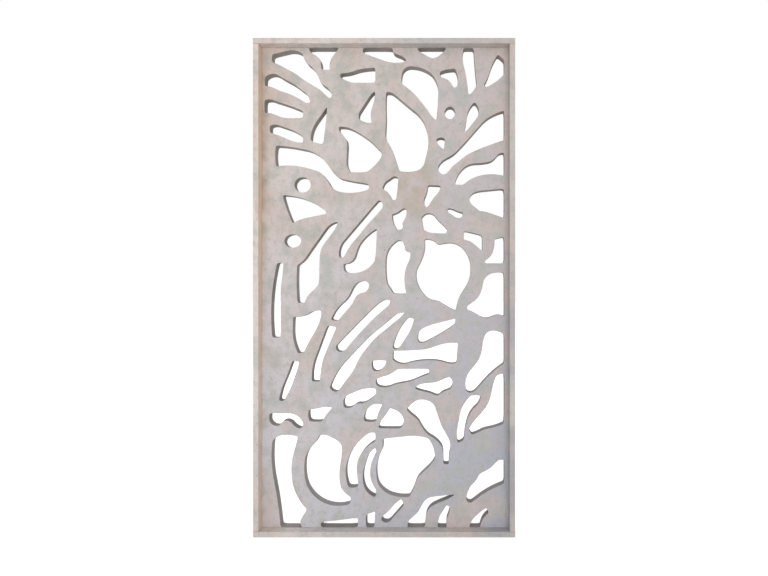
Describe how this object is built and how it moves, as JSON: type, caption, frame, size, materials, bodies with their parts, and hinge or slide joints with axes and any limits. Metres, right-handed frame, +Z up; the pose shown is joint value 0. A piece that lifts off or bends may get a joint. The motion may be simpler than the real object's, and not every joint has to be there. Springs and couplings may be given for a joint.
{
  "type": "concrete jali screen",
  "caption": "Tall cast concrete jali screen: an openwork leaf pattern inside a raised border, set in a wall or garden to divide a space and let light and air through.",
  "frame": {"origin": "middle of the foot: half way across and half way through the thickness, on the ground", "axes": "+Z up, +X to the right seen from the front, and the front with the raised border faces -Y"},
  "size_m": [1.05, 0.082, 2],
  "materials": {
    "leaf_concrete": "matte",
    "border_concrete": "matte",
    "bedding_mortar": "matte",
    "socket_steel": "satin",
    "bar_steel": "satin"
  },
  "bodies": {
    "root": {"jali_leaf": "leaf_concrete", "head_strip": "border_concrete", "sill_strip": "border_concrete", "left_jamb_strip": "border_concrete", "right_jamb_strip": "border_concrete", "head_bed": "bedding_mortar", "sill_bed": "bedding_mortar", "left_jamb_bed": "bedding_mortar", "right_jamb_bed": "bedding_mortar", "corner_joints": "bedding_mortar", "corner_sockets": "socket_steel", "head_pins": "bar_steel", "sill_pins": "bar_steel", "left_jamb_pins": "bar_steel", "right_jamb_pins": "bar_steel", "left_edge_bar": "bar_steel", "right_edge_bar": "bar_steel", "foot_bar": "bar_steel", "head_bar": "bar_steel", "web_bar_left_upper": "bar_steel", "web_bar_left_middle": "bar_steel", "web_bar_middle": "bar_steel", "web_bar_right_cross": "bar_steel", "web_bar_foot_cross": "bar_steel", "web_bar_right_lower": "bar_steel", "head_strip_bar": "bar_steel", "sill_strip_bar": "bar_steel", "left_jamb_bar": "bar_steel", "right_jamb_bar": "bar_steel"}
  },
  "joints": []
}
